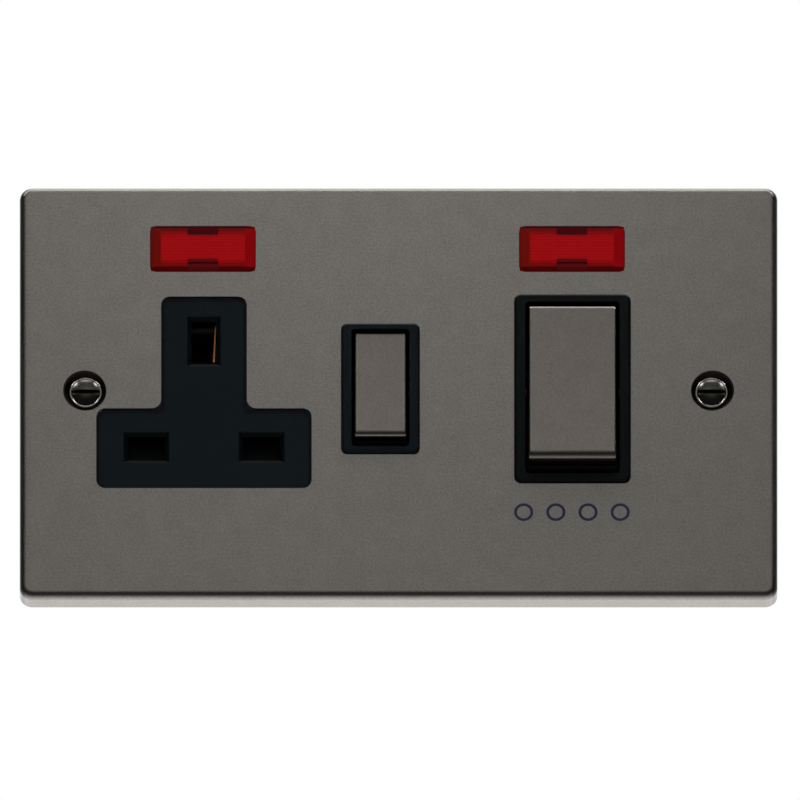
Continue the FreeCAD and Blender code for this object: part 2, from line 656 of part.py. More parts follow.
def fulcrum(switch, pole, strap_y):
    """Knife edge that a contact bar rocks on, and the rest for the bar's lower end."""
    x = pole_x(switch, pole)
    width = switch["bar_width"]
    depth = strap_y - FULCRUM_Y
    profile = [(Vector(x - width / 2, FULCRUM_Y, SWITCH_Z), 0),
               (Vector(x - width / 2, FULCRUM_Y + depth, SWITCH_Z + FULCRUM_BASE), 0),
               (Vector(x - width / 2, FULCRUM_Y + depth, SWITCH_Z - FULCRUM_BASE), 0)]
    edge = Part.Face(rounded_loop(profile)).extrude(Vector(width, 0, 0))
    angle = math.radians(BAR_TILT)
    rest_z = SWITCH_Z - switch["bar_half_length"]
    rest_y = FULCRUM_Y + switch["bar_half_length"] * math.sin(angle) + BAR_REST_GAP
    rest = box(span(x, width), (rest_y, strap_y), (rest_z, rest_z + FULCRUM_BASE))
    return [edge, rest]


def busbar(pole, strap_y, run_z):
    """Strap from a supply terminal to the fulcrums of both switches."""
    y_range = (strap_y, strap_y + STRAP_THICKNESS)
    terminal_x = TERMINAL_X[pole]
    pieces = []
    ends = [terminal_x]
    for switch in (COOKER, SOCKET):
        x = pole_x(switch, pole)
        ends.append(x)
        pieces += fulcrum(switch, pole, strap_y)
        pieces.append(box(span(x, switch["bar_width"]), y_range, (run_z, SWITCH_Z + FULCRUM_BASE)))
    half = COOKER["bar_width"] / 2
    pieces.append(box((min(ends) - SOCKET["bar_width"] / 2, max(ends) + half), y_range,
                      span(run_z, RUN_HEIGHT)))
    pieces.append(box(span(terminal_x, COOKER["bar_width"]), y_range, (SUPPLY_TERMINAL_TOP, run_z)))
    return fuse(pieces)


def load_link(pole):
    """Strap from a cooker switch's fixed contact up to its load terminal."""
    pieces, strap_y = fixed_contact(COOKER, pole, contact_foot(COOKER), LOAD_TERMINAL_FOOT)
    x_ends = sorted([pole_x(COOKER, pole), TERMINAL_X[pole]])
    half = COOKER["bar_width"] / 2
    jog = box((x_ends[0] - half, x_ends[1] + half), (strap_y, strap_y + STRAP_THICKNESS),
              (LOAD_TERMINAL_FOOT - COOKER["bar_width"], LOAD_TERMINAL_FOOT))
    return fuse(pieces + [jog])


def flat_jaws(x, back_y):
    """Two sprung leaves that grip a flat pin above and below, on one web."""
    path = []
    for side in (-1, 1):
        throat = JAW_GAP / 2 + JAW_SHEET / 2
        half_path = [Vector(x, JAW_MOUTH_Y, FLAT_PIN_Z + side * (throat + 1.0)),
                     Vector(x, JAW_MOUTH_Y + 2.0, FLAT_PIN_Z + side * throat),
                     Vector(x, JAW_MOUTH_Y + 4.0, FLAT_PIN_Z + side * (throat + 0.5)),
                     Vector(x, back_y + STRAP_THICKNESS / 2, FLAT_PIN_Z + side * (throat + 0.5))]
        path += half_path if side < 0 else half_path[::-1]
    return folded_strip(path, JAW_SHEET, Vector(FLAT_PIN_WIDTH, 0, 0))


def socket_live_contact():
    """Live pin contact, joined by its strap to the socket switch's fixed contact."""
    pieces, strap_y = fixed_contact(SOCKET, "live", contact_foot(SOCKET), EARTH_RUN_Z)
    y_range = (strap_y, strap_y + STRAP_THICKNESS)
    left, right = LIVE_PIN_X - PIN_STRAP_WIDTH / 2, pole_x(SOCKET, "live") + SOCKET["bar_width"] / 2
    pieces.append(box((left, right), y_range, (EARTH_RUN_Z - RUN_HEIGHT, EARTH_RUN_Z)))
    pieces.append(box((left, left + PIN_STRAP_WIDTH), y_range, (FLAT_PIN_Z, EARTH_RUN_Z)))
    pieces.append(flat_jaws(LIVE_PIN_X, strap_y))
    return fuse(pieces)


def socket_neutral_contact():
    """Neutral pin contact, its strap passing behind the earth and live contacts."""
    top_z = EARTH_RUN_Z + NEUTRAL_RUN_ABOVE
    pieces, strap_y = fixed_contact(SOCKET, "neutral", contact_foot(SOCKET), top_z)
    x = pole_x(SOCKET, "neutral")
    half = SOCKET["bar_width"] / 2
    y_range = (NEUTRAL_STRAP_Y, NEUTRAL_STRAP_Y + STRAP_THICKNESS)
    pieces.append(box((x - half, x + half), (strap_y, y_range[1]), (top_z - STRAP_THICKNESS, top_z)))
    left = NEUTRAL_PIN_X - PIN_STRAP_WIDTH / 2
    pieces.append(box((left, x + half), y_range, (top_z - RUN_HEIGHT, top_z)))
    pieces.append(box(span(NEUTRAL_PIN_X, PIN_STRAP_WIDTH), y_range, (FLAT_PIN_Z, top_z)))
    pieces.append(flat_jaws(NEUTRAL_PIN_X, NEUTRAL_STRAP_Y))
    return fuse(pieces)


def socket_earth_contact():
    """Earth pin contact: leaves either side of the pin, on a web that joins the earth bar."""
    path = []
    for side in (-1, 1):
        throat = JAW_GAP / 2 + JAW_SHEET / 2
        half_path = [Vector(SOCKET_X + side * (throat + 0.8), EARTH_JAW_MOUTH_Y, EARTH_PIN_Z),
                     Vector(SOCKET_X + side * throat, EARTH_JAW_MOUTH_Y + 2.5, EARTH_PIN_Z),
                     Vector(SOCKET_X + side * (throat + 0.5), EARTH_JAW_MOUTH_Y + 5.0, EARTH_PIN_Z),
                     Vector(SOCKET_X + side * (throat + 0.5), EARTH_STRAP_Y - JAW_SHEET / 2, EARTH_PIN_Z)]
        path += half_path if side < 0 else half_path[::-1]
    return folded_strip(path, JAW_SHEET, Vector(0, 0, EARTH_PIN_HEIGHT))


def earth_bar():
    """Strap joining both earth terminals, with a branch to the socket's earth contact."""
    y_range = (EARTH_STRAP_Y, EARTH_STRAP_Y + STRAP_THICKNESS)
    x = TERMINAL_X["earth"]
    upright = box(span(x, RUN_HEIGHT), y_range, (INNER_BOTTOM, INNER_TOP))
    foot_x = span(SOCKET_X, EARTH_PIN_HEIGHT)
    branch = box((foot_x[0], x), y_range, span(EARTH_RUN_Z, RUN_HEIGHT))
    foot = box(foot_x, y_range, (EARTH_PIN_Z - EARTH_PIN_HEIGHT / 2, EARTH_RUN_Z))
    pads = []
    holes = []
    for side in (-1, 1):
        z = terminal_places(side)["earth"].z
        pads.append(box(span(x, TERMINAL_WIDTH), y_range, span(z, TERMINAL_HEIGHT)))
        holes.append(rod(TERMINAL_SCREW_RADIUS + LOOSE_GAP, Vector(x, y_range[0] - PAST, z),
                         Vector(x, y_range[1] + PAST, z)))
    return fuse([upright, branch, foot] + pads).cut(Part.makeCompound(holes))


def plate_earth_strap():
    """Folded strap from the earth bar's branch forward to the inside of the metal plate."""
    half = STRAP_THICKNESS / 2
    path = [Vector(PLATE_STRAP_X, EARTH_STRAP_Y - half, EARTH_RUN_Z - RUN_HEIGHT / 2),
            Vector(PLATE_STRAP_X, EARTH_STRAP_Y - half, PLATE_STRAP_Z),
            Vector(PLATE_STRAP_X, SHEET_BACK_Y + half, PLATE_STRAP_Z),
            Vector(PLATE_STRAP_X, SHEET_BACK_Y + half, PLATE_STRAP_Z + PLATE_STRAP_FOOT)]
    return folded_strip(path, STRAP_THICKNESS, Vector(PLATE_STRAP_WIDTH, 0, 0))


def terminal_places(side):
    """Centres of the three terminals: the load ones are up (1), the supply ones down (-1)."""
    z = (LOAD_TERMINAL_FOOT if side > 0 else INNER_BOTTOM) + TERMINAL_HEIGHT / 2
    return {pole: Vector(x, TERMINAL_Y, z) for pole, x in TERMINAL_X.items()}


def terminal(centre, side):
    """Brass block with a cable bore from its outer end and a clamping screw hole behind."""
    block = slab((centre.x, centre.z), (TERMINAL_WIDTH, TERMINAL_HEIGHT),
                 (centre.y - TERMINAL_DEPTH / 2, centre.y + TERMINAL_DEPTH / 2), 0)
    mouth = centre + Vector(0, 0, side * (TERMINAL_HEIGHT / 2 + PAST))
    bore = rod(CABLE_BORE_RADIUS, centre - Vector(0, 0, side * (TERMINAL_HEIGHT / 2 - CABLE_BORE_END)), mouth)
    screw_hole = rod(TERMINAL_SCREW_RADIUS + THREAD_GAP, centre, centre + Vector(0, TERMINAL_DEPTH, 0))
    return block.cut(bore).cut(screw_hole)


def terminal_screws():
    screws = []
    for side in (-1, 1):
        for centre in terminal_places(side).values():
            tip = centre + Vector(0, CABLE_BORE_RADIUS + RUNNING_GAP, 0)
            head = Vector(centre.x, HOUSING_BACK - TERMINAL_SCREW_SINK, centre.z)
            screw = rod(TERMINAL_SCREW_RADIUS, tip, head)
            slot = box(span(centre.x, 2 * (TERMINAL_SCREW_RADIUS + PAST)), (head.y - SLOT_DEPTH, head.y + PAST),
                       span(centre.z, SLOT_WIDTH))
            screws.append(screw.cut(slot))
    return Part.makeCompound(screws)


def fixing_screws():
    """Two wall screws with raised countersunk heads and straight slots."""
    seat_y = FACE_Y + COUNTERSINK_RADIUS - FIXING_HEAD_RADIUS
    neck = FIXING_HEAD_RADIUS - FIXING_SCREW_RADIUS
    screws = []
    for place in screw_places():
        head = cone(FIXING_HEAD_RADIUS, FIXING_SCREW_RADIUS, Vector(place.x, seat_y, 0), neck)
        sphere_radius = (FIXING_HEAD_RADIUS ** 2 + FIXING_HEAD_RISE ** 2) / (2 * FIXING_HEAD_RISE)
        ball = Part.makeSphere(sphere_radius, Vector(place.x, seat_y - FIXING_HEAD_RISE + sphere_radius, 0))
        dome = ball.common(rod(FIXING_HEAD_RADIUS, Vector(place.x, seat_y - FIXING_HEAD_RISE - PAST, 0),
                               Vector(place.x, seat_y, 0)))
        shank = rod(FIXING_SCREW_RADIUS, Vector(place.x, seat_y, 0), Vector(place.x, seat_y + FIXING_LENGTH, 0))
        slot = box(span(place.x, 2 * (FIXING_HEAD_RADIUS + PAST)),
                   (seat_y - FIXING_HEAD_RISE - PAST, seat_y - FIXING_HEAD_RISE + FIXING_SLOT_DEPTH),
                   span(0, SLOT_WIDTH))
        screws.append(fuse([head, dome, shank]).cut(slot))
    return Part.makeCompound(screws)


def plate_nuts():
    """Hexagonal nuts on the plate's studs, clamping the housing's flange."""
    nuts = []
    corner_radius = NUT_ACROSS_FLATS / math.sqrt(3)
    for place in stud_places():
        foot = Vector(place.x, HOUSING_FLANGE_BACK, place.z)
        ring = [foot + Vector(math.cos(math.radians(60 * k)), 0, math.sin(math.radians(60 * k))) * corner_radius
                for k in range(6)]
        nut = Part.Face(Part.makePolygon(ring + ring[:1])).extrude(Vector(0, NUT_THICKNESS, 0))
        thread = rod(STUD_RADIUS + THREAD_GAP, foot - Vector(0, PAST, 0), foot + Vector(0, NUT_THICKNESS + PAST, 0))
        nuts.append(nut.cut(thread))
    return Part.makeCompound(nuts)


def neon_lens(x):
    """Red lens: a raised panel with sloping rims, a clip notch in two of them, open at the back for its lamp."""
    front = FACE_Y - LENS_RISE
    flange = lens_block(x, LENS_LIP, (SHEET_BACK_Y, SHEET_BACK_Y + LENS_WALL))
    neck = lens_block(x, 0, (FACE_Y, SHEET_BACK_Y))
    panel_size = (LENS_WIDTH - 2 * LENS_RIM, LENS_HEIGHT - 2 * LENS_RIM)
    panel = tapered((x, LENS_Z), panel_size, (LENS_WIDTH, LENS_HEIGHT), (front, FACE_Y), LENS_CORNER)
    skirt_size = (LENS_WIDTH - 2 * LENS_SKIRT_INSET, LENS_HEIGHT - 2 * LENS_SKIRT_INSET)
    skirt = slab((x, LENS_Z), skirt_size, (SHEET_BACK_Y, FACE_Y + LENS_DEPTH), LENS_WALL)
    hollow_size = (skirt_size[0] - 2 * LENS_WALL, skirt_size[1] - 2 * LENS_WALL)
    cutters = [slab((x, LENS_Z), hollow_size, (FACE_Y + LENS_WALL, FACE_Y + LENS_DEPTH + PAST), 0)]
    for side in (-1, 1):
        z = LENS_Z + side * (LENS_HEIGHT - LENS_TAB_HEIGHT) / 2
        cutters.append(box(span(x, LENS_TAB_WIDTH), (front - PAST, FACE_Y), span(z, LENS_TAB_HEIGHT)))
    return fuse([flange, neck, panel, skirt]).cut(Part.makeCompound(cutters))


def neon_lamp(x):
    start = Vector(x - LAMP_LENGTH / 2, LAMP_Y, LENS_Z)
    return blunt_ended(LAMP_RADIUS, start, start + Vector(LAMP_LENGTH, 0, 0))


def neon_resistor(x):
    start = Vector(x - RESISTOR_LENGTH / 2, RESISTOR_Y, LENS_Z)
    return rod(RESISTOR_RADIUS, start, start + Vector(RESISTOR_LENGTH, 0, 0))


def shutter():
    """Sliding shutter: a bar over the flat pin holes and a stem with the earth pin's ramp."""
    y_range = (SHUTTER_FRONT, SHUTTER_BACK)
    bar = slab((SOCKET_X, (SHUTTER_BAR_TOP + SHUTTER_BAR_BOTTOM) / 2),
               (2 * SHUTTER_HALF_WIDTH, SHUTTER_BAR_TOP - SHUTTER_BAR_BOTTOM), y_range, BAR_CORNER)
    stem_x = span(SOCKET_X, 2 * SHUTTER_STEM_HALF_WIDTH)
    stem = box(stem_x, y_range, (FLAT_HOLE_TOP, SHUTTER_TOP))
    wedge_back = SHUTTER_BACK + SHUTTER_WEDGE_DEPTH
    wedge_foot = SHUTTER_TOP - SHUTTER_TRAVEL - SHUTTER_WEDGE_FOOT
    wedge = box(stem_x, (SHUTTER_FRONT, wedge_back), (wedge_foot, SHUTTER_TOP))
    ramp = [Vector(stem_x[0], SHUTTER_FRONT - PAST, SHUTTER_TOP - SHUTTER_TRAVEL - PAST),
            Vector(stem_x[0], SHUTTER_FRONT - PAST, SHUTTER_TOP + PAST),
            Vector(stem_x[0], wedge_back + PAST, SHUTTER_TOP + PAST)]
    cutter = Part.Face(Part.makePolygon(ramp + ramp[:1])).extrude(Vector(2 * SHUTTER_STEM_HALF_WIDTH, 0, 0))
    return fuse([bar, stem, wedge]).cut(cutter)


def shutter_spring():
    y = (SHUTTER_FRONT + SHUTTER_BACK) / 2
    start = Vector(SOCKET_X, y, SPRING_FOOT)
    end = Vector(SOCKET_X, y, SHUTTER_BAR_BOTTOM - THREAD_GAP)
    return coil(SHUTTER_SPRING_RADIUS, SHUTTER_SPRING_WIRE, SHUTTER_SPRING_TURNS, start, end)


def socket_chamber():
    """Walls inside the housing behind the socket: the shield, shutter guides and spring seat."""
    inner_left = HOUSING_WALL - HOUSING_WIDTH / 2
    wall = box(span(SOCKET_WALL_X, PARTITION_THICKNESS), (FLANGE_BACK_Y, PARTITION_BACK), (INNER_BOTTOM, INNER_TOP))
    seat_foot = SPRING_FOOT - SPRING_SEAT_THICKNESS
    shield_y = (SHIELD_FRONT_Y, SHIELD_BACK_Y)
    shield = box((inner_left, SOCKET_WALL_X), shield_y, (seat_foot, T_TOP + SHIELD_MARGIN))
    guides = []
    guide_top = FLAT_PIN_Z + FLAT_PIN_WIDTH - PIN_HOLE_CORNER
    for side in (-1, 1):
        x = SOCKET_X + side * (SHUTTER_HALF_WIDTH + LOOSE_GAP + SHUTTER_GUIDE_THICKNESS / 2)
        guides.append(box(span(x, SHUTTER_GUIDE_THICKNESS), (SHUTTER_FRONT, SHIELD_FRONT_Y),
                          (SHUTTER_BAR_BOTTOM - SHUTTER_TRAVEL, guide_top)))
    seat = box(span(SOCKET_X, SPRING_SEAT_WIDTH), (SHUTTER_FRONT - LOOSE_GAP, SHIELD_FRONT_Y),
               (seat_foot, SPRING_FOOT))
    through = (SHIELD_FRONT_Y - TINY, SHIELD_BACK_Y + TINY)
    holes = pin_holes(PIN_CLEARANCE + LOOSE_GAP, through)
    slot = box(span(SOCKET_X, 2 * (SHUTTER_STEM_HALF_WIDTH + LOOSE_GAP)), through,
               (SHUTTER_TOP - 2 * SHUTTER_TRAVEL - SHUTTER_WEDGE_FOOT - LOOSE_GAP, SHUTTER_TOP + LOOSE_GAP))
    return [wall, shield] + guides + [seat], holes + [slot]


def contact_columns():
    """Posts from the back wall that carry the fulcrums, fixed contacts and jaw webs."""
    columns = []
    for switch in (COOKER, SOCKET):
        width = switch["bar_width"]
        for pole, strap_y in (("live", LIVE_STRAP_Y), ("neutral", NEUTRAL_STRAP_Y)):
            x = pole_x(switch, pole)
            columns.append(box(span(x, width), (strap_y + STRAP_THICKNESS, BACK_WALL_Y),
                               span(SWITCH_Z, POST_HEIGHT)))
            strap_back = closed_button_y(switch) + CONTACT_GAP_CLOSED + BUTTON_HEIGHT + STRAP_THICKNESS
            button_z = SWITCH_Z + switch["bar_half_length"] - switch["button_radius"]
            columns.append(box(span(x, width), (strap_back, BACK_WALL_Y), span(button_z, POST_HEIGHT)))
    live_back = closed_button_y(SOCKET) + CONTACT_GAP_CLOSED + BUTTON_HEIGHT + STRAP_THICKNESS
    neutral_back = NEUTRAL_STRAP_Y + STRAP_THICKNESS
    for x, back in ((LIVE_PIN_X, live_back), (NEUTRAL_PIN_X, neutral_back)):
        columns.append(box(span(x, PIN_STRAP_WIDTH), (back, BACK_WALL_Y), span(FLAT_PIN_Z, PIN_STRAP_WIDTH)))
    return columns


def lamp_holders():
    """Two ribs behind each lens, slotted from the front for the lamp and the resistor."""
    ribs = []
    holes = []
    for x in LENS_X:
        for side in (-1, 1):
            rib_x = x + side * LAMP_RIB_SPACING / 2
            ribs.append(box(span(rib_x, LAMP_RIB_THICKNESS), (HOUSING_FLANGE_BACK, RESISTOR_Y + 2 * RESISTOR_RADIUS),
                            (LENS_Z - LAMP_RADIUS - LAMP_RIB_THICKNESS, INNER_TOP)))
        for radius, y in ((LAMP_RADIUS, LAMP_Y), (RESISTOR_RADIUS, RESISTOR_Y)):
            fit = radius + RUNNING_GAP
            holes.append(box(span(x, LAMP_LENGTH), (HOUSING_FLANGE_BACK - PAST, y + fit), span(LENS_Z, 2 * fit)))
    return ribs, holes


def lug_notches(grow):
    """Recesses in the housing's sides that clear the wall box's screw lugs, grown by grow."""
    size = 2 * (LUG_CLEARANCE + grow)
    height = 2 * (LUG_HALF_HEIGHT + grow)
    return Part.makeCompound([box(span(place.x, size), (FLANGE_BACK_Y - PAST, HOUSING_BACK + PAST), span(0, height))
                              for place in screw_places()])


def terminal_barriers():
    """Low walls between the clamping screws on the housing's back."""
    walls = []
    middles = sorted(TERMINAL_X.values())
    for side in (-1, 1):
        z = terminal_places(side)["earth"].z
        for left, right in zip(middles, middles[1:]):
            walls.append(box(span((left + right) / 2, BARRIER_THICKNESS),
                             (BACK_WALL_Y, HOUSING_BACK + BARRIER_HEIGHT), span(z, TERMINAL_HEIGHT)))
    return walls


def rear_housing():
    front = FLANGE_BACK_Y
    gap = PLATE_SHEET + LOOSE_GAP
    flange_size = (PLATE_WIDTH - 2 * gap, PLATE_HEIGHT - 2 * gap)
    flange = slab((0, 0), flange_size, (front, HOUSING_FLANGE_BACK), PLATE_CORNER_RADIUS - PLATE_SHEET)
    middle = (0, (HOUSING_TOP + HOUSING_BOTTOM) / 2)
    height = HOUSING_TOP - HOUSING_BOTTOM
    case = slab(middle, (HOUSING_WIDTH, height), (front, HOUSING_BACK), HOUSING_CORNER)
    case = case.makeChamfer(HOUSING_EDGE, face_edges(case, HOUSING_BACK)).cut(lug_notches(0))
    inside = slab(middle, (HOUSING_WIDTH - 2 * HOUSING_WALL, height - 2 * HOUSING_WALL),
                  (front - PAST, BACK_WALL_Y), HOUSING_CORNER - HOUSING_WALL).cut(lug_notches(HOUSING_WALL))
    shell = flange.fuse(case).cut(inside)
    partition = box(span(PARTITION_X, PARTITION_THICKNESS), (front, PARTITION_BACK), (INNER_BOTTOM, INNER_TOP))
    added, removed = socket_chamber()
    ribs, rib_holes = lamp_holders()
    pads = []
    holes = []
    for side in (-1, 1):
        for pole, centre in terminal_places(side).items():
            pad_front = EARTH_STRAP_Y + (STRAP_THICKNESS if pole == "earth" else 0)
            pads.append(box(span(centre.x, TERMINAL_WIDTH), (pad_front, BACK_WALL_Y),
                            span(centre.z, TERMINAL_HEIGHT)))
            holes.append(rod(TERMINAL_SCREW_RADIUS + TERMINAL_SCREW_GAP, centre,
                             Vector(centre.x, HOUSING_BACK + PAST, centre.z)))
            holes.append(rod(CABLE_ENTRY_RADIUS, centre, centre + Vector(0, 0, side * TERMINAL_HEIGHT)))
    for place in screw_places():
        holes.append(rod(LUG_FLANGE_RADIUS, Vector(place.x, front - PAST, 0),
                         Vector(place.x, HOUSING_FLANGE_BACK + PAST, 0)))
    for place in stud_places():
        foot = Vector(place.x, front - PAST, place.z)
        holes.append(rod(STUD_RADIUS + WINDOW_GAP, foot, foot + Vector(0, HOUSING_FLANGE + 2 * PAST, 0)))
    for x in LENS_X:
        holes.append(lens_block(x, LENS_LIP + LOOSE_GAP, (front - PAST, FACE_Y + LENS_DEPTH + LOOSE_GAP)))
    holes.append(box(span(PLATE_STRAP_X, PLATE_STRAP_WIDTH + 2 * LOOSE_GAP), (front - PAST, HOUSING_FLANGE_BACK + PAST),
                     (PLATE_STRAP_Z - PAST, PLATE_STRAP_Z + PLATE_STRAP_FOOT + PAST)))
    solid = fuse([shell, partition] + added + ribs + pads + contact_columns() + terminal_barriers())
    return solid.cut(Part.makeCompound(holes + removed + rib_holes))


def export(name, shape):
    shape.exportStep("parts/" + name + ".step")


export("front_plate", front_plate())
export("socket_insert", socket_insert())
export("cooker_insert", cooker_insert())
export("rear_housing", rear_housing())
export("fixing_screws", fixing_screws())
export("plate_nuts", plate_nuts())
export("terminal_screws", terminal_screws())
export("shutter", shutter())
export("shutter_spring", shutter_spring())
export("live_busbar", busbar("live", LIVE_STRAP_Y, LIVE_RUN_Z))
export("neutral_busbar", busbar("neutral", NEUTRAL_STRAP_Y, NEUTRAL_RUN_Z))
export("load_live_link", load_link("live"))
export("load_neutral_link", load_link("neutral"))
export("socket_live_contact", socket_live_contact())
export("socket_neutral_contact", socket_neutral_contact())
export("socket_earth_contact", socket_earth_contact())
export("earth_bar", earth_bar())
export("plate_earth_strap", plate_earth_strap())

for side, circuit in ((-1, "supply"), (1, "load")):
    for pole, centre in terminal_places(side).items():
        export(circuit + "_" + pole + "_terminal", terminal(centre, side))

for switch in (COOKER, SOCKET):
    name = switch["name"]
    export(name + "_rocker", rocker(switch))
    export(name + "_rocker_cap", rocker_cap(switch))
    for pole in ("live", "neutral"):
        export(name + "_plunger_" + pole, plunger(switch, pole))
        export(name + "_plunger_spring_" + pole, plunger_spring(switch, pole))
        export(name + "_contact_bar_" + pole, contact_bar(switch, pole))

for place, x in (("left", LENS_X[0]), ("right", LENS_X[1])):
    export("neon_lens_" + place, neon_lens(x))
    export("neon_lamp_" + place, neon_lamp(x))
    export("neon_resistor_" + place, neon_resistor(x))
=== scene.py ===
import bpy
import json
import math
import numpy as np
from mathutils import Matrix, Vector


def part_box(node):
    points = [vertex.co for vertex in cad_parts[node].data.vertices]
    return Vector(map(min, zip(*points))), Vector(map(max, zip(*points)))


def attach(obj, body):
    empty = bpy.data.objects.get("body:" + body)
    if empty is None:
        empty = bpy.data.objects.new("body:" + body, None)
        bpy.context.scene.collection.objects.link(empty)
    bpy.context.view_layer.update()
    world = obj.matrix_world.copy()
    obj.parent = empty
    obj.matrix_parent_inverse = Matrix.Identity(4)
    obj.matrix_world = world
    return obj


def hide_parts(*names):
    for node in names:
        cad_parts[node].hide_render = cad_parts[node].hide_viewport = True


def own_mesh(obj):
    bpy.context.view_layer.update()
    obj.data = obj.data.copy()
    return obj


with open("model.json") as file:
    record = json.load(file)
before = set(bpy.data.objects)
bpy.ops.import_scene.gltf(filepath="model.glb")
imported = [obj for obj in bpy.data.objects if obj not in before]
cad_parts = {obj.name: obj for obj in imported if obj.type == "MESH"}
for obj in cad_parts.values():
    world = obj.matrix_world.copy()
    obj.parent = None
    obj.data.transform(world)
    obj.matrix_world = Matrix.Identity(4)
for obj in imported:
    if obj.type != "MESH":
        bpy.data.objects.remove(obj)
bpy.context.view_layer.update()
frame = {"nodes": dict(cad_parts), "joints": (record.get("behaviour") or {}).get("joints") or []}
MM = 0.001


# Camera. The product is seen square on from 23 degrees below, with next to no perspective,
# so the lens is orthographic. It aims a little under the middle of the plate's face.
LOOK_UP = math.radians(23.0)
VIEW_WIDTH = 154.14 * MM
CAMERA_DISTANCE = 350 * MM
NEAREST_SEEN = 10 * MM
FARTHEST_SEEN = 20.0
aim = Vector((0.27, -5.0, -1.72)) * MM

lens_data = bpy.data.cameras.new("camera")
lens_data.type = "ORTHO"
lens_data.ortho_scale = VIEW_WIDTH
lens_data.clip_start = NEAREST_SEEN
lens_data.clip_end = FARTHEST_SEEN
camera = bpy.data.objects.new("camera", lens_data)
camera.location = aim - Vector((0.0, math.cos(LOOK_UP), math.sin(LOOK_UP))) * CAMERA_DISTANCE
camera.rotation_euler = (math.radians(90.0) + LOOK_UP, 0.0, 0.0)
bpy.context.scene.collection.objects.link(camera)
bpy.context.scene.camera = camera
bpy.context.scene.view_settings.view_transform = "Standard"


# Studio. The camera sees plain white. In reflections the room is dim, with a soft box over the camera,
# a white sweep behind and above, and a glow from behind and below that lights the lower edge. A strip
# overhead and two small spots, high on the left and the right, make the glints of polished edges.
# Three lamps in front light the face, and a plain pale floor lies below.
class Wire:
    """A socket's value in a sum: each operator adds the Math node that works it out."""

    def __init__(self, nodes, socket):
        self.nodes = nodes
        self.socket = socket

    def maths(self, operation, first, second):
        return self.nodes.node("ShaderNodeMath", {"operation": operation}, {0: first, 1: second})

    def __add__(self, other):
        return self.maths("ADD", self, other)

    def __sub__(self, other):
        return self.maths("SUBTRACT", self, other)

    def __rsub__(self, other):
        return self.maths("SUBTRACT", other, self)

    def __mul__(self, other):
        return self.maths("MULTIPLY", self, other)

    __radd__ = __add__
    __rmul__ = __mul__

    def larger(self, other):
        return self.maths("MAXIMUM", self, other)

    def smaller(self, other):
        return self.maths("MINIMUM", self, other)

    def absolute(self):
        return self.nodes.node("ShaderNodeMath", {"operation": "ABSOLUTE"}, {0: self})

    def sine(self):
        return self.nodes.node("ShaderNodeMath", {"operation": "SINE"}, {0: self})

    def output(self, name):
        return Wire(self.nodes, self.socket.node.outputs[name])


class Nodes:
    """The nodes of one finish, or of the world."""

    def __init__(self, tree):
        self.tree = tree
        tree.nodes.clear()

    def node(self, kind, settings=None, sockets=None, output=0):
        """Makes a node: its settings first, then the value or link of each socket."""
        made = self.tree.nodes.new(kind)
        for name, value in (settings or {}).items():
            setattr(made, name, value)
        for name, value in (sockets or {}).items():
            if isinstance(value, Wire):
                self.tree.links.new(value.socket, made.inputs[name])
            else:
                made.inputs[name].default_value = value
        return Wire(self, made.outputs[output]) if made.outputs else None

    def step(self, value, low, high):
        """0 below low, 1 above high, and a smooth rise between them."""
        settings = {"interpolation_type": "SMOOTHSTEP"}
        sockets = {"Value": value, "From Min": low, "From Max": high}
        return self.node("ShaderNodeMapRange", settings, sockets)

    def mix(self, share, first, second):
        """A colour between two colours."""
        sockets = {0: share, 6: first, 7: second}
        return self.node("ShaderNodeMix", {"data_type": "RGBA"}, sockets, 2)


ROOM_DIM = 0.09
BOX_LEVEL = 0.60
UNDER_LEVEL = 2.65
SWEEP_LEVEL = 1.0
TOP_LEVEL = 7.0
SPOT_LEVEL = 30.0

# Each light of the room: its direction, and the cosines to it where it starts and where it is full.
FRONT_BOX = ((0.0, -0.857, 0.515), 0.84, 0.95)
UNDER_GLOW = ((0.0, 0.8, -0.6), -0.5, 1.0)
SWEEP = ((0.0, 0.5, 0.866), 0.62, 0.85)
TOP_STRIP = ((0.0, -0.1, 0.995), 0.90, 0.97)
LEFT_SPOT = ((-0.48, -0.374, 0.793), 0.989, 0.995)
RIGHT_SPOT = ((0.48, -0.374, 0.793), 0.989, 0.995)

world = bpy.data.worlds.new("studio")
world.use_nodes = True
bpy.context.scene.world = world
room = Nodes(world.node_tree)
direction = room.node("ShaderNodeTexCoord").output("Generated")


def glow(way, start, full):
    """How much of a light lies in a direction of the room: 0 below the cosine start, 1 above full."""
    product = room.node("ShaderNodeVectorMath", {"operation": "DOT_PRODUCT"}, {0: direction, 1: way})
    return room.step(product.output("Value"), start, full)


under = glow(*UNDER_GLOW)
spots = glow(*LEFT_SPOT).larger(glow(*RIGHT_SPOT))
path = room.node("ShaderNodeLightPath")
glints = (TOP_LEVEL * glow(*TOP_STRIP) + SPOT_LEVEL * spots) * path.output("Is Glossy Ray")
soft = BOX_LEVEL * glow(*FRONT_BOX) + SWEEP_LEVEL * glow(*SWEEP) + UNDER_LEVEL * under * under
studio = ROOM_DIM + (soft + glints)
seen = path.output("Is Camera Ray").larger(path.output("Is Transmission Ray"))
level = seen + (1.0 - seen) * studio
light = room.node("ShaderNodeBackground", sockets={"Color": (1.0, 1.0, 1.0, 1.0), "Strength": level})
room.node("ShaderNodeOutputWorld", sockets={"Surface": light})


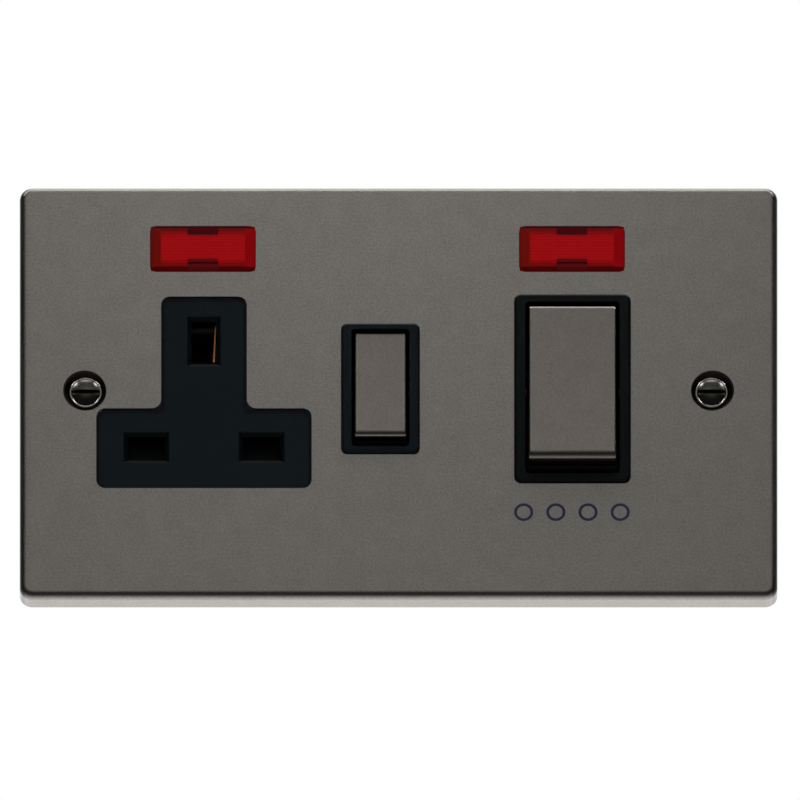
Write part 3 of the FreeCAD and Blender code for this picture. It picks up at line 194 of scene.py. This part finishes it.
def soft_box(name, place, target, width, height, watts):
    """A rectangular lamp at a place in mm, turned to face its target."""
    lamp = bpy.data.lights.new(name, "AREA")
    lamp.shape = "RECTANGLE"
    lamp.size = width * MM
    lamp.size_y = height * MM
    lamp.energy = watts
    holder = bpy.data.objects.new(name, lamp)
    holder.location = Vector(place) * MM
    facing = Vector(target) * MM - holder.location
    holder.rotation_euler = facing.to_track_quat("-Z", "Y").to_euler()
    holder.visible_camera = False
    bpy.context.scene.collection.objects.link(holder)
    return holder


soft_box("key_light", place=(-15, -300, 190), target=(0, -5, 0), width=160, height=90, watts=0.040)
low = soft_box("low_light", place=(-30, -300, 70), target=(0, -5, -30), width=160, height=60, watts=0.006)
low.visible_diffuse = False
fill = soft_box("fill_light", place=(0, -500, 150), target=(0, 0, 0), width=600, height=400, watts=1.6)
fill.visible_glossy = False

FLOOR_Z = -240 * MM
FLOOR_HALF = 2.0
FLOOR_GREY = (0.86, 0.86, 0.86, 1.0)
corners = np.array([(-1, -1), (1, -1), (1, 1), (-1, 1)]) * FLOOR_HALF
floor_mesh = bpy.data.meshes.new("floor")
floor_mesh.from_pydata([(x, y, FLOOR_Z) for x, y in corners], [], [(0, 1, 2, 3)])
floor = bpy.data.objects.new("floor", floor_mesh)
bpy.context.scene.collection.objects.link(floor)
floor_finish = bpy.data.materials.new("floor")
floor_finish.use_nodes = True
ground = Nodes(floor_finish.node_tree)
matt = ground.node("ShaderNodeBsdfDiffuse", sockets={"Color": FLOOR_GREY})
ground.node("ShaderNodeOutputMaterial", sockets={"Surface": matt})
floor_mesh.materials.append(floor_finish)
floor.visible_glossy = False


# Front plate. It is pressed from one sheet of dark satin metal with folded edges, and its
# fine blasted grain shows as a soft mottle. The caps are pressed from the same sheet. Boxes on
# the face are given as x, z, width, height and corner radius, in mm.
PLATE_COLOUR = (105, 102, 98)
CAP_COLOUR = (88, 84, 80)
EDGE_ROUGHNESS = 0.14
COOKER_CAP = (33.5, 1.02, 17.5, 34.36, 0.8)
SOCKET_CAP = (-3.5, 1.02, 10.5, 23.43, 0.8)
# The sink colour is painted shade: it darkens the plate round each fixing screw, where the countersink's
# shade falls.
SINK_RADIUS = 4.2 * MM
SINK_SHADE = (26, 22, 20)
SINK_PLACES = [(-60.5 * MM, 0.3 * MM), (60.5 * MM, 0.3 * MM)]
FOLD = (0.0, -5.0, 146.0, 96.0, 3.0)
# The fold shade is painted shade: it darkens the colour along the plate's top and side folds to tone down
# their reflection.
FOLD_SHADE = 0.5
SINK_EDGE = 0.1 * MM
WORN_EDGE = (-0.75 * MM, -0.45 * MM)
FOLD_EDGE = (-1.1 * MM, -0.8 * MM)
CLOUDS_PER_MM = 0.3
GRAINS_PER_MM = 2.4
SPECKS_PER_MM = 6.5
TONE_RANGE = (0.36, 0.64)
BLACK = (0.0, 0.0, 0.0, 1.0)


def linear(colour):
    """The linear colour of an 8-bit one, each channel by the standard display curve."""
    c = np.array(colour, float) / 255.0
    c = np.where(c <= 0.04045, c / 12.92, ((c + 0.055) / 1.055) ** 2.4)
    return (*(float(v) for v in c), 1.0)


def new_finish(name):
    """An empty material and its nodes."""
    made = bpy.data.materials.new(name)
    made.use_nodes = True
    return made, Nodes(made.node_tree)


def put_on(finish, *names):
    """Gives a finish to CAD nodes."""
    for name in names:
        piece = frame["nodes"][name]
        if not piece.material_slots:
            piece.data.materials.append(finish)
        for slot in piece.material_slots:
            slot.material = finish


def noise(nodes, per_mm, detail=2.0):
    """Noise on the piece's own coordinates, with a given number of its cells to a mm."""
    place = nodes.node("ShaderNodeTexCoord").output("Object")
    sockets = {"Vector": place, "Scale": per_mm / MM, "Detail": detail}
    return nodes.node("ShaderNodeTexNoise", sockets=sockets)


def shades(colour, spread):
    """A colour made darker and lighter by a share of itself."""
    c = np.array(linear(colour)[:3])
    return (*(c * (1.0 - spread)).tolist(), 1.0), (*(c * (1.0 + spread)).tolist(), 1.0)


def beyond(nodes, x, z, width, height, corner):
    """How far a point lies outside a rounded box on the face, or, below zero, inside its outline."""
    place = nodes.node("ShaderNodeTexCoord").output("Object")
    flat = nodes.node("ShaderNodeVectorMath", {"operation": "MULTIPLY_ADD"},
                      {0: place, 1: (1.0, 0.0, 1.0), 2: (-x * MM, 0.0, -z * MM)})
    folded = nodes.node("ShaderNodeVectorMath", {"operation": "ABSOLUTE"}, {0: flat})
    half = ((width / 2.0 - corner) * MM, 0.0, (height / 2.0 - corner) * MM)
    past = nodes.node("ShaderNodeVectorMath", {"operation": "SUBTRACT"}, {0: folded, 1: half})
    outside = nodes.node("ShaderNodeVectorMath", {"operation": "MAXIMUM"}, {0: past, 1: (0.0, 0.0, 0.0)})
    return nodes.node("ShaderNodeVectorMath", {"operation": "LENGTH"}, {0: outside}, "Value") - corner * MM


def satin_metal(name, colour, roughness, mottle, sinks=(), worn=None, fold=None):
    """Blasted metal: clouds of 3 mm and grains of 0.4 and 0.15 mm shade it, and the finest is its bump.

    Within SINK_RADIUS of a sink's axis, which runs along Y, its colour is painted shade, the dark of the
    countersink's hollow. Near the outline of the box that is given as worn, it is polished, and near
    that of fold its colour is darker, painted shade that tones down the fold's reflection. The box of
    the plate's fold runs past its lower edge, which gets no painted shade and stays bright.
    """
    made, nodes = new_finish(name)
    cloud = noise(nodes, CLOUDS_PER_MM)
    grain = noise(nodes, GRAINS_PER_MM, 3.0)
    speck = noise(nodes, SPECKS_PER_MM)
    tone = nodes.step(0.12 * cloud + 0.44 * grain + 0.44 * speck, *TONE_RANGE)
    dark, light = shades(colour, mottle)
    surface = nodes.mix(tone, dark, light)
    place = nodes.node("ShaderNodeTexCoord").output("Object")
    # Painted shade in each countersink.
    for x, z in sinks:
        flat = nodes.node("ShaderNodeVectorMath", {"operation": "MULTIPLY_ADD"},
                          {0: place, 1: (1.0, 0.0, 1.0), 2: (-x, 0.0, -z)})
        radius = nodes.node("ShaderNodeVectorMath", {"operation": "LENGTH"}, {0: flat}, "Value")
        outside = nodes.step(radius, SINK_RADIUS - SINK_EDGE, SINK_RADIUS)
        surface = nodes.mix(outside, linear(SINK_SHADE), surface)
    if fold:
        # Painted shade on the top and side folds.
        bend = nodes.step(beyond(nodes, *fold), *FOLD_EDGE)
        surface = nodes.mix(FOLD_SHADE * bend, surface, BLACK)
    bump = nodes.node("ShaderNodeBump", sockets={"Strength": 0.12, "Distance": 0.02 * MM, "Height": speck})
    rough = roughness - 0.03 + 0.06 * grain
    if worn:
        edge = nodes.step(beyond(nodes, *worn), *WORN_EDGE)
        rough = rough + edge * (EDGE_ROUGHNESS - rough)
    body = nodes.node("ShaderNodeBsdfPrincipled", sockets={
        "Base Color": surface,
        "Metallic": 1.0,
        "Roughness": rough,
        "Normal": bump,
    })
    nodes.node("ShaderNodeOutputMaterial", sockets={"Surface": body})
    return made


put_on(satin_metal("plate_metal", PLATE_COLOUR, roughness=0.32, mottle=0.18, sinks=SINK_PLACES, fold=FOLD),
       "front_plate")
for name, outline in (("cooker", COOKER_CAP), ("socket", SOCKET_CAP)):
    put_on(satin_metal("cap_metal_" + name, CAP_COLOUR, roughness=0.33, mottle=0.14, worn=outline),
           name + "_rocker_cap")


# Mouldings. The socket face and bezels are black thermoset plastic with a fine spark finish,
# the rockers, the shutter and the housing are moulded too, and the plungers are pale nylon.
PIN_HOLES = [(-48.6, -11.55, 9.0, 6.6, 0.4), (-26.4, -11.55, 9.0, 6.6, 0.4), (-37.5, 10.65, 6.6, 10.6, 0.4)]
T_SHAPE = [(-37.5, -12.25, 41.2, 16.4, 1.6), (-37.5, -0.55, 16.2, 39.8, 1.6)]
# The hole colour is painted shade, laid into the pin holes and into the gap round the T's outline.
HOLE_SHADE = (1, 3, 4)
HOLE_EDGE = (-0.3 * MM, -0.1 * MM)
GAP_INNER_EDGE = (-0.60 * MM, -0.38 * MM)
GAP_OUTER_EDGE = (0.3 * MM, 0.5 * MM)
FLOWS_PER_MM = 0.08
FLOW_SPREAD = 0.1
FLOW_RANGE = (0.3, 0.7)


def moulding(name, colour, roughness, grain_mm, bump, gloss, outline=(), holes=()):
    """Moulded plastic: an even colour with a fine grain in its roughness and its bump.

    Painted shade darkens it in the gap round its outline and in its holes, which are given as boxes
    on its face.
    """
    made, nodes = new_finish(name)
    grain = noise(nodes, 1.0 / grain_mm, 3.0)
    flow = noise(nodes, FLOWS_PER_MM)
    dark, light = shades(colour, FLOW_SPREAD)
    bumps = {"Strength": bump, "Distance": 0.03 * MM, "Height": grain}
    texture = nodes.node("ShaderNodeBump", sockets=bumps)
    surface = nodes.mix(nodes.step(0.5 * flow + 0.5 * grain, *FLOW_RANGE), dark, light)
    # Painted shade in the gap round the outline, then in the holes.
    if outline:
        first, second = (beyond(nodes, *box) for box in outline)
        depth = first.smaller(second)
        edge = nodes.step(depth, *GAP_INNER_EDGE) * (1.0 - nodes.step(depth, *GAP_OUTER_EDGE))
        surface = nodes.mix(edge, surface, linear(HOLE_SHADE))
    for box in holes:
        outside = nodes.step(beyond(nodes, *box), *HOLE_EDGE)
        surface = nodes.mix(outside, linear(HOLE_SHADE), surface)
    body = nodes.node("ShaderNodeBsdfPrincipled", sockets={
        "Base Color": surface,
        "Roughness": roughness - 0.05 + 0.10 * grain,
        "Specular IOR Level": gloss,
        "Normal": texture,
    })
    nodes.node("ShaderNodeOutputMaterial", sockets={"Surface": body})
    return made


put_on(moulding("black_moulding", (4, 7, 7), roughness=0.5, grain_mm=0.25, bump=0.2, gloss=0.05),
       "cooker_insert")
put_on(moulding("socket_moulding", (8, 14, 17), roughness=0.5, grain_mm=0.25, bump=0.2, gloss=0.05,
                outline=T_SHAPE, holes=PIN_HOLES), "socket_insert")
put_on(moulding("rocker_moulding", (14, 13, 12), roughness=0.45, grain_mm=0.3, bump=0.15, gloss=0.15),
       "cooker_rocker", "socket_rocker")
put_on(moulding("housing_moulding", (52, 53, 55), roughness=0.5, grain_mm=0.35, bump=0.25, gloss=0.3),
       "rear_housing")
put_on(moulding("shutter_moulding", (3, 4, 5), roughness=0.45, grain_mm=0.3, bump=0.15, gloss=0.03),
       "shutter")
put_on(moulding("plunger_nylon", (214, 208, 192), roughness=0.4, grain_mm=0.3, bump=0.1, gloss=0.4),
       "cooker_plunger_live", "cooker_plunger_neutral", "socket_plunger_live", "socket_plunger_neutral")


# Lenses. Each is a clear red moulding clipped into the plate, with a raised rim round a flat
# window and faint ribs across it. A neon lamp and its resistor sit behind it.
LENS_SIZE = (20.1 * MM, 9.3 * MM)
LENS_RIM = 2.0 * MM
RIB_PITCH = 0.62
STREAKS_PER_MM = 0.5
WINDOW_SPREAD = 0.12
WINDOW_RED = (146, 7, 11)
# The rim reds are painted light and shade: the left rim and the rims above and below get a shaded red, the
# right rim a lit red, and the shade red is painted shade along the foot and head.
SHADED_LEFT_RED = (95, 14, 10)
LIT_RIGHT_RED = (124, 5, 9)
SHADED_LEVEL_RED = (88, 10, 10)
CLIP_RED = (60, 4, 9)
LOW_CLIP_RED = (80, 8, 11)
SHADE_RED = (66, 2, 3)
SIDE_EDGE = (-0.25, 0.35)
LEVEL_EDGE = (-0.6, 1.6)
CLIP_EDGE = (2.75, 3.15)
HIGH_CLIP_EDGE = (-0.2, 0.2)
LOW_CLIP_EDGE = (-0.6, -0.2)
FOOT_EDGE = (1.0, 1.3)
HEAD_EDGE = (1.4, 1.8)


def lens_finish(name):
    """Red plastic with low horizontal ribs over its window, darker clips, and painted light and shade.

    Its left rim and the rims above and below are painted shade, its right rim painted light, and a
    painted shade runs along its foot and head. The window is where the distances past its sides and
    above or below it are below zero, and the ribs are a sine of the height along Z, which also paints
    them as light and dark stripes.
    """
    low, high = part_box("neon_lens_" + name)
    made, nodes = new_finish("red_lens_" + name)
    place = nodes.node("ShaderNodeTexCoord").output("Object")
    point = nodes.node("ShaderNodeSeparateXYZ", sockets={0: place})
    middle = (low + high) / 2.0
    across = point.output("X") - middle.x
    height = point.output("Z") - middle.z
    half = (LENS_SIZE[0] / 2.0 - LENS_RIM, LENS_SIZE[1] / 2.0 - LENS_RIM)
    side = across.absolute()
    above = height - half[1]
    below = (0.0 - height) - half[1]

    def fade(value, edge):
        """A step whose low and high ends are given in mm."""
        return nodes.step(value, edge[0] * MM, edge[1] * MM)

    side_rim = fade(side - half[0], SIDE_EDGE)
    level_rim = fade(above.larger(below), LEVEL_EDGE)
    clip = 1.0 - fade(side, CLIP_EDGE)
    high_clip = clip * fade(above, HIGH_CLIP_EDGE)
    low_clip = clip * fade(below, LOW_CLIP_EDGE)
    shade = fade(below, FOOT_EDGE).larger(fade(above, HEAD_EDGE))
    right = nodes.step(across, -half[0], half[0])
    ribs = (height * (2.0 * math.pi / (RIB_PITCH * MM))).sine()
    bump = nodes.node("ShaderNodeBump", sockets={"Strength": 0.2, "Distance": 0.03 * MM, "Height": ribs})
    dark, light = shades(WINDOW_RED, WINDOW_SPREAD)
    # Light and dark stripes along the ribs: painted shading of their relief, besides the bump.
    window = nodes.mix(0.5 + 0.4 * ribs + 0.8 * (noise(nodes, STREAKS_PER_MM) - 0.5), dark, light)
    # Painted shade on the rims above and below and on the left rim, painted light on the right rim, then
    # the clips, then painted shade along the foot and head.
    colour = nodes.mix(level_rim, window, linear(SHADED_LEVEL_RED))
    colour = nodes.mix(side_rim, colour, nodes.mix(right, linear(SHADED_LEFT_RED), linear(LIT_RIGHT_RED)))
    colour = nodes.mix(high_clip, colour, linear(CLIP_RED))
    colour = nodes.mix(low_clip, colour, linear(LOW_CLIP_RED))
    colour = nodes.mix(shade, colour, linear(SHADE_RED))
    body = nodes.node("ShaderNodeBsdfPrincipled", sockets={
        "Base Color": colour,
        "Roughness": 0.22,
        "Specular IOR Level": 0.02,
        "Normal": bump,
    })
    nodes.node("ShaderNodeOutputMaterial", sockets={"Surface": body})
    return made


for name in ("left", "right"):
    put_on(lens_finish(name), "neon_lens_" + name)


# Metal fittings. Contacts are copper and brass strip, the terminals are turned and cross
# drilled from brass bar, and the screws, nuts and springs are plated or plain steel.
TARNISH_PER_MM = 0.5
DRAWN_GRAINS_PER_MM = 3.0
TARNISH_RANGE = (0.3, 0.7)


def drawn_metal(name, colour, roughness, streak):
    """Strip or bar metal: noise shades it and roughens it, with a little tarnish."""
    made, nodes = new_finish(name)
    cloud = noise(nodes, TARNISH_PER_MM)
    grain = noise(nodes, DRAWN_GRAINS_PER_MM, 3.0)
    tone = nodes.step(0.6 * cloud + 0.4 * grain, *TARNISH_RANGE)
    dark = tuple(v * (1.0 - streak) for v in linear(colour)[:3]) + (1.0,)
    bump = nodes.node("ShaderNodeBump", sockets={"Strength": 0.1, "Distance": 0.02 * MM, "Height": grain})
    body = nodes.node("ShaderNodeBsdfPrincipled", sockets={
        "Base Color": nodes.mix(tone, dark, linear(colour)),
        "Metallic": 1.0,
        "Roughness": roughness - 0.04 + 0.08 * cloud,
        "Normal": bump,
    })
    nodes.node("ShaderNodeOutputMaterial", sockets={"Surface": body})
    return made


copper = drawn_metal("contact_copper", (214, 138, 98), roughness=0.32, streak=0.25)
brass = drawn_metal("brass", (205, 168, 96), roughness=0.28, streak=0.2)
plated = drawn_metal("plated_steel", (196, 196, 192), roughness=0.3, streak=0.15)
screw_black = drawn_metal("screw_metal", (66, 65, 61), roughness=0.18, streak=0.2)
spring_steel = drawn_metal("spring_steel", (168, 168, 166), roughness=0.28, streak=0.15)

put_on(copper, "cooker_contact_bar_live", "cooker_contact_bar_neutral", "socket_contact_bar_live",
       "socket_contact_bar_neutral", "live_busbar", "neutral_busbar", "load_live_link", "load_neutral_link")
put_on(brass, "socket_live_contact", "socket_neutral_contact", "socket_earth_contact", "earth_bar",
       "plate_earth_strap", "supply_live_terminal", "supply_earth_terminal", "supply_neutral_terminal",
       "load_live_terminal", "load_earth_terminal", "load_neutral_terminal")
put_on(plated, "terminal_screws", "plate_nuts")
put_on(screw_black, "fixing_screws")
put_on(spring_steel, "shutter_spring", "cooker_plunger_spring_live", "cooker_plunger_spring_neutral",
       "socket_plunger_spring_live", "socket_plunger_spring_neutral")


# Screw rims. Round each fixing screw's head runs a polished rim, a torus at the head's edge.
RIM_RADIUS = 2.93
RIM_TUBE = 0.35
RIM_Y = -4.3
RIM_SCREW_X = 60.3
RIM_SEGMENTS = (72, 12)


def lattice_faces(around, across):
    """The four-sided faces of a grid that closes both ways, numbered row after row."""
    i, j = np.meshgrid(np.arange(around), np.arange(across), indexing="ij")
    along = (i + 1) % around
    over = (j + 1) % across
    corners = [i * across + j, along * across + j, along * across + over, i * across + over]
    return np.stack(corners, axis=-1).reshape(-1, 4)


def torus_grid(x):
    """A torus round an axis along Y: (x + (R + r cos b) cos a, y - r sin b, (R + r cos b) sin a)."""
    around, across = RIM_SEGMENTS
    angle = np.linspace(0.0, 2.0 * math.pi, around, endpoint=False)
    turn = np.linspace(0.0, 2.0 * math.pi, across, endpoint=False)
    a, b = np.meshgrid(angle, turn, indexing="ij")
    reach = RIM_RADIUS + RIM_TUBE * np.cos(b)
    points = np.stack([x + reach * np.cos(a), RIM_Y - RIM_TUBE * np.sin(b), reach * np.sin(a)], axis=-1)
    return points.reshape(-1, 3) * MM, lattice_faces(around, across)


def add_piece(name, points, faces, finish, body, slot, smooth):
    """Makes a visual piece that rides a body; its slot is not used."""
    mesh = bpy.data.meshes.new(name)
    mesh.from_pydata(points.tolist(), [], faces.tolist())
    mesh.materials.append(finish)
    if smooth:
        mesh.shade_smooth()
    else:
        mesh.shade_flat()
    piece = bpy.data.objects.new(name, mesh)
    bpy.context.scene.collection.objects.link(piece)
    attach(piece, body)
    return piece


# The rim's metal is a lighter copy of the screw metal, a painted highlight, and it is smoother too.
lit_rim_metal = drawn_metal("lit_rim_metal", (120, 118, 114), roughness=0.16, streak=0.1)
for side, x in (("left", -RIM_SCREW_X), ("right", RIM_SCREW_X)):
    add_piece("screw_rim_" + side, *torus_grid(x), lit_rim_metal, "base", "screw_metal", smooth=True)


# Earth spring. The edge of the brass leaf that presses on the earth pin shows in its hole. It is a
# bent strip: its right side leans in by LEAF_LEAN from foot to head.
LEAF_X = -35.6
LEAF_Y = (-3.0, -1.2)
LEAF_Z = (7.0, 14.6)
LEAF_LEAN = 0.32
LEAF_THICK = (0.36, 0.12)
LEAF_ROWS = 13


def leaf_grid():
    """A strip whose middle is at x + LEAF_LEAN t and whose thickness falls with t, from foot to head."""
    rise = np.linspace(0.0, 1.0, LEAF_ROWS)
    side = np.array([-0.5, 0.5, 0.5, -0.5])
    t, s = np.meshgrid(rise, side, indexing="ij")
    depth = np.broadcast_to(np.array([LEAF_Y[0], LEAF_Y[0], LEAF_Y[1], LEAF_Y[1]]), t.shape)
    thick = LEAF_THICK[0] + (LEAF_THICK[1] - LEAF_THICK[0]) * t
    x = LEAF_X + LEAF_LEAN * t + s * thick
    points = np.stack([x, depth, LEAF_Z[0] + (LEAF_Z[1] - LEAF_Z[0]) * t], axis=-1)
    first = np.arange((LEAF_ROWS - 1) * 4)
    over = first - first % 4 + (first + 1) % 4
    faces = np.stack([first, over, over + 4, first + 4], axis=-1).tolist()
    faces += [[3, 2, 1, 0], [(LEAF_ROWS - 1) * 4 + k for k in range(4)]]
    return points.reshape(-1, 3) * MM, np.array(faces)


# The leaf's brass is a darker copy of the brass: painted shade of the hole that it lies in.
shaded_leaf_brass = drawn_metal("shaded_leaf_brass", (150, 100, 66), roughness=0.4, streak=0.5)
add_piece("earth_spring_leaf", *leaf_grid(), shaded_leaf_brass, "base", "brass", smooth=False)


# Springs. Each is a copy of the coil of its CAD node, riding a body in place of the hidden node. How
# much of its length its joint's travel would leave is worked out, but the coil is not shortened.
SLIDES = {joint["name"]: joint for joint in frame["joints"] if joint["type"] == "slide"}


def add_coil(node, body, joint, seat_along):
    """A copy of the node's coil that rides the body and hides the node.

    The share of its length along seat_along that the joint's travel leaves is worked out, not applied.
    """
    mesh = frame["nodes"][node].data.copy()
    coil = bpy.data.objects.new(node + "_coil", mesh)
    bpy.context.scene.collection.objects.link(coil)
    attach(coil, body)
    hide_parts(node)
    axis = np.array(seat_along, float)
    along = np.array([v.co for v in mesh.vertices]) @ axis
    travel = max(abs(limit) for limit in SLIDES[joint]["range_m"])
    keep = 1.0 - travel / (along.max() - along.min())
    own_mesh(coil)


add_coil("shutter_spring", "base", "shutter_slide", SLIDES["shutter_slide"]["axis"])
for switch in ("cooker", "socket"):
    for pole in ("live", "neutral"):
        slide = switch + "_plunger_" + pole + "_slide"
        add_coil(switch + "_plunger_spring_" + pole, switch + "_rocker", slide, SLIDES[slide]["axis"])


# Neon lamps. A clear bulb and a lacquered resistor stand behind each lens.
def lamp_glass():
    """Clear glass with an orange bloom."""
    made, nodes = new_finish("lamp_glass")
    cloud = noise(nodes, 0.6)
    body = nodes.node("ShaderNodeBsdfPrincipled", sockets={
        "Base Color": nodes.mix(cloud, linear((226, 190, 170)), linear((240, 224, 214))),
        "Roughness": 0.08,
        "Transmission Weight": 0.7,
        "IOR": 1.5,
    })
    nodes.node("ShaderNodeOutputMaterial", sockets={"Surface": body})
    return made


put_on(lamp_glass(), "neon_lamp_left", "neon_lamp_right")
put_on(moulding("resistor_body", (176, 146, 104), roughness=0.35, grain_mm=0.3, bump=0.1, gloss=0.5),
       "neon_resistor_left", "neon_resistor_right")


# Pictogram. Four hob rings in a row are printed on the plate under the big switch.
INK = (30, 33, 50)
LEGEND_X = 33.4
LEGEND_Z = -25.2
RING_COUNT = 4
RING_OUTER = 1.85
RING_WIDTH = 0.55
RING_PITCH = 6.2
RING_SEGMENTS = 48
PRINT_RISE = 0.01 * MM
PLATE_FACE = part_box("front_plate")[0].y


def ring_grid(x):
    """A flat ring: its point at angle a and radius r is (x + r cos a, LEGEND_Z + r sin a)."""
    angle = np.linspace(0.0, 2.0 * math.pi, RING_SEGMENTS, endpoint=False)
    radius = np.array([RING_OUTER - RING_WIDTH, RING_OUTER])
    a, r = np.meshgrid(angle, radius, indexing="ij")
    points = np.stack([x + r * np.cos(a), np.zeros_like(a), LEGEND_Z + r * np.sin(a)], axis=-1)
    first = np.arange(RING_SEGMENTS) * 2
    second = (first + 2) % (RING_SEGMENTS * 2)
    return points.reshape(-1, 3) * MM, np.stack([first, first + 1, second + 1, second], axis=-1)


def hob_rings():
    """The rings side by side, printed on the plate's face."""
    points, faces = [], []
    for i in range(RING_COUNT):
        ring_points, ring_faces = ring_grid(LEGEND_X + (i - (RING_COUNT - 1) / 2.0) * RING_PITCH)
        faces.append(ring_faces + i * len(ring_points))
        points.append(ring_points)
    points = np.concatenate(points)
    points[:, 1] = PLATE_FACE - PRINT_RISE
    return points, np.concatenate(faces)


ink = moulding("printing_ink", INK, roughness=0.5, grain_mm=0.2, bump=0.1, gloss=0.1)
add_piece("hob_pictogram", *hob_rings(), ink, "base", "black_moulding", smooth=False)
